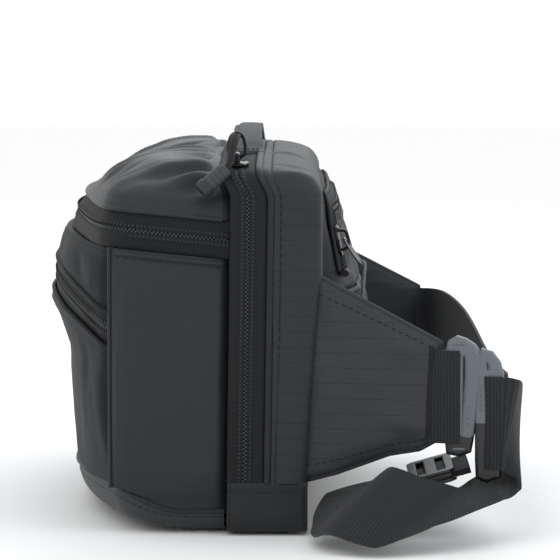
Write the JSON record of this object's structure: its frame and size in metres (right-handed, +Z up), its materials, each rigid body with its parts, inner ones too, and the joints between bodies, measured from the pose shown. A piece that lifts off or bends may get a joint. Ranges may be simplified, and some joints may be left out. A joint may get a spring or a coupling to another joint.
{
  "type": "waist pack",
  "caption": "Waist pack with a domed zip lid, a clamshell rear compartment, a zipped front pocket, padded hip wings, a webbing belt and a side-release buckle.",
  "frame": {"origin": "middle of the base, on the floor, under the rear edge of the rear compartment's zip band", "axes": "+Z up, +Y towards the wearer, +X towards the near wing, the one that carries the buckle frame"},
  "size_m": [0.3298, 0.2118, 0.1735],
  "materials": {
    "lining": "matte",
    "base_fabric": "matte",
    "side_fabric": "satin",
    "body_fabric": "satin",
    "lid_fabric": "satin",
    "rear_fabric": "satin",
    "back_fabric": "matte",
    "air_mesh": "matte",
    "wing_fabric": "matte",
    "patch": "matte",
    "zip_tape": "matte",
    "zip_coil": "satin",
    "piping": "matte",
    "handle_webbing": "matte",
    "webbing": "matte",
    "buckle": "satin",
    "keeper": "satin",
    "slider": "gloss",
    "wire": "satin",
    "pull": "matte",
    "pull_dark": "matte",
    "cord": "matte",
    "cord_grey": "matte"
  },
  "bodies": {
    "main_body": {"main_tub": "lining", "centre_panel": "lining", "base_panel": "base_fabric", "side_panel_near": "side_fabric", "side_panel_far": "side_fabric", "front_pocket_panel": "body_fabric", "front_zip_lower_tape": "zip_tape", "front_zip_coil": "zip_coil", "front_zip_upper_tape": "zip_tape", "front_yoke": "body_fabric", "main_zip_lower_tape": "zip_tape", "main_zip_lower_coil": "zip_coil", "rear_zip_front_tape": "zip_tape", "rear_zip_front_coil": "zip_coil", "corner_patch_near": "patch", "corner_patch_far": "patch", "rear_base_panel": "base_fabric", "grab_handle": "handle_webbing"},
    "lid": {"lid_panel": "lid_fabric", "main_zip_upper_coil": "zip_coil", "main_zip_upper_tape": "zip_tape"},
    "rear_body": {"rear_shell": "rear_fabric", "rear_zip_rear_tape": "zip_tape", "rear_zip_rear_coil": "zip_coil", "rear_piping": "piping", "lumbar_pad": "air_mesh", "back_panel": "back_fabric", "back_zip_tape": "zip_tape"},
    "near_wing": {"near_wing_pad": "wing_fabric", "near_wing_loop": "webbing", "buckle_frame": "buckle"},
    "far_wing": {"far_wing_pad": "wing_fabric", "belt_strap": "webbing", "belt_wrap": "webbing", "buckle_hook": "buckle", "belt_tail": "webbing", "belt_tail_return": "webbing"},
    "keeper": {"tri_glide": "keeper"},
    "rear_zip_slider": {"rear_slider": "slider"},
    "rear_zip_pull": {"rear_bail": "wire", "rear_pull_cord": "cord", "rear_pull": "pull"},
    "lid_zip_slider": {"main_slider": "slider"},
    "lid_zip_pull": {"main_bail": "wire", "main_pull": "pull"},
    "pocket_zip_slider": {"front_slider": "slider"},
    "pocket_zip_pull": {"front_bail": "wire", "front_pull": "pull"},
    "back_zip_slider": {"back_slider": "slider"},
    "back_zip_pull": {"back_bail": "wire", "back_pull_cord": "cord_grey", "back_pull": "pull_dark"}
  },
  "joints": [
    {"name": "lid_hinge", "type": "hinge", "parent": "main_body", "child": "lid", "pos_m": [0, -0.0153, 0.1625], "axis": [-1, 0, 0], "range_deg": [0, 82]},
    {"name": "rear_opening", "type": "hinge", "parent": "main_body", "child": "rear_body", "pos_m": [0, 0.013, 0.022], "axis": [-1, 0, 0], "range_deg": [0, 20]},
    {"name": "near_wing_fold", "type": "hinge", "parent": "rear_body", "child": "near_wing", "pos_m": [0.127, 0.0256, 0.112], "axis": [0, -0.0775, -0.997], "range_deg": [0, 50]},
    {"name": "far_wing_fold", "type": "hinge", "parent": "rear_body", "child": "far_wing", "pos_m": [-0.127, 0.0256, 0.112], "axis": [0, 0.0775, 0.997], "range_deg": [0, 20]},
    {"name": "keeper_slide", "type": "slide", "parent": "far_wing", "child": "keeper", "axis": [0, 0.9627, 0.2707], "range_m": [-0.007, 0.007]},
    {"name": "rear_zip_slide", "type": "slide", "parent": "main_body", "child": "rear_zip_slider", "axis": [0.9984, 0, -0.0574], "range_m": [-0.032, 0]},
    {"name": "rear_pull_swing", "type": "hinge", "parent": "rear_zip_slider", "child": "rear_zip_pull", "pos_m": [0.11222, -0.0128, 0.16219], "axis": [0, -1, 0], "range_deg": [0, 85]},
    {"name": "lid_zip_slide", "type": "slide", "parent": "main_body", "child": "lid_zip_slider", "axis": [0, -0.995, 0.0995], "range_m": [0, 0.022]},
    {"name": "lid_pull_swing", "type": "hinge", "parent": "lid_zip_slider", "child": "lid_zip_pull", "pos_m": [-0.1289, -0.026, 0.12837], "axis": [0, -0.0995, -0.995], "range_deg": [0, 120]},
    {"name": "pocket_zip_slide", "type": "slide", "parent": "main_body", "child": "pocket_zip_slider", "axis": [0.9154, -0.3453, 0.2072], "range_m": [0, 0.02]},
    {"name": "pocket_pull_swing", "type": "hinge", "parent": "pocket_zip_slider", "child": "pocket_zip_pull", "pos_m": [-0.09345, -0.08672, 0.09665], "axis": [0.1577, -0.1658, -0.9735], "range_deg": [0, 120]},
    {"name": "back_zip_slide", "type": "slide", "parent": "rear_body", "child": "back_zip_slider", "axis": [0, -0.1961, 0.9806], "range_m": [0, 0.018]},
    {"name": "back_pull_swing", "type": "hinge", "parent": "back_zip_slider", "child": "back_zip_pull", "pos_m": [0.09834, 0.03401, 0.12576], "axis": [0.9961, -0.0862, -0.0172], "range_deg": [0, 110]}
  ],
  "couplings": [
    {"joint": "rear_pull_swing", "follows": "rear_zip_slide", "rad_per_m": -45}
  ]
}
